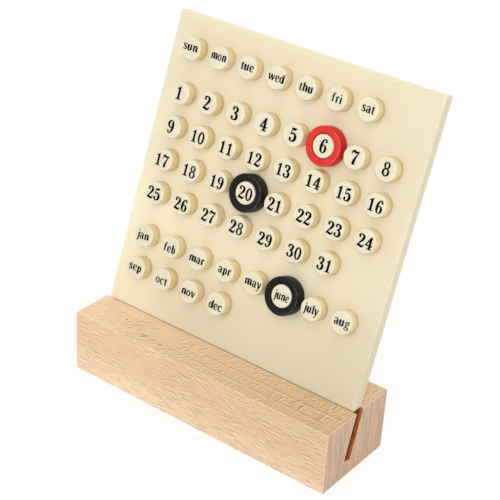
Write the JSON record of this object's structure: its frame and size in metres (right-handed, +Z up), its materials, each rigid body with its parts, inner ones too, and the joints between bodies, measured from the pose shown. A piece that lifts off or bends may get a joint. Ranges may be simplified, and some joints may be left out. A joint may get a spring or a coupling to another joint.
{
  "type": "standing perpetual calendar",
  "caption": "Standing perpetual desk calendar: a slotted wooden block holds a leaning panel of round day, date and month pegs, with rings slipped over pegs to mark the date.",
  "frame": {"origin": "middle of the block's flat underside, on the desk", "axes": "+X along the block, to the right as the pegs are read; -Y is the side that the pegs face; +Z up"},
  "size_m": [0.15, 0.0766, 0.17],
  "materials": {
    "beech": "satin",
    "panel_plastic": "satin",
    "peg_plastic": "satin",
    "red_ring_plastic": "satin",
    "black_ring_plastic": "satin",
    "black_ink": "satin"
  },
  "bodies": {
    "stand": {"base_block": "beech"},
    "calendar_panel": {"panel": "panel_plastic", "peg_sun": "peg_plastic", "peg_mon": "peg_plastic", "peg_tue": "peg_plastic", "peg_wed": "peg_plastic", "peg_thu": "peg_plastic", "peg_fri": "peg_plastic", "peg_sat": "peg_plastic", "peg_01": "peg_plastic", "peg_02": "peg_plastic", "peg_03": "peg_plastic", "peg_04": "peg_plastic", "peg_05": "peg_plastic", "peg_06": "peg_plastic", "peg_07": "peg_plastic", "peg_08": "peg_plastic", "peg_09": "peg_plastic", "peg_10": "peg_plastic", "peg_11": "peg_plastic", "peg_12": "peg_plastic", "peg_13": "peg_plastic", "peg_14": "peg_plastic", "peg_15": "peg_plastic", "peg_16": "peg_plastic", "peg_17": "peg_plastic", "peg_18": "peg_plastic", "peg_19": "peg_plastic", "peg_20": "peg_plastic", "peg_21": "peg_plastic", "peg_22": "peg_plastic", "peg_23": "peg_plastic", "peg_24": "peg_plastic", "peg_25": "peg_plastic", "peg_26": "peg_plastic", "peg_27": "peg_plastic", "peg_28": "peg_plastic", "peg_29": "peg_plastic", "peg_30": "peg_plastic", "peg_31": "peg_plastic", "peg_jan": "peg_plastic", "peg_feb": "peg_plastic", "peg_mar": "peg_plastic", "peg_apr": "peg_plastic", "peg_may": "peg_plastic", "peg_june": "peg_plastic", "peg_july": "peg_plastic", "peg_aug": "peg_plastic", "peg_sep": "peg_plastic", "peg_oct": "peg_plastic", "peg_nov": "peg_plastic", "peg_dec": "peg_plastic"},
    "red_date_marker": {"red_date_ring": "red_ring_plastic"},
    "black_date_marker": {"black_date_ring": "black_ring_plastic"},
    "black_month_marker": {"black_month_ring": "black_ring_plastic"}
  },
  "joints": [
    {"name": "panel_lift", "type": "slide", "parent": "stand", "child": "calendar_panel", "axis": [0, 0.3338, 0.9426], "range_m": [0, 0.026]},
    {"name": "red_date_ring_pull", "type": "slide", "parent": "calendar_panel", "child": "red_date_marker", "axis": [0, -0.9426, 0.3338], "range_m": [0, 0.008]},
    {"name": "black_date_ring_pull", "type": "slide", "parent": "calendar_panel", "child": "black_date_marker", "axis": [0, -0.9426, 0.3338], "range_m": [0, 0.008]},
    {"name": "black_month_ring_pull", "type": "slide", "parent": "calendar_panel", "child": "black_month_marker", "axis": [0, -0.9426, 0.3338], "range_m": [0, 0.008]}
  ]
}
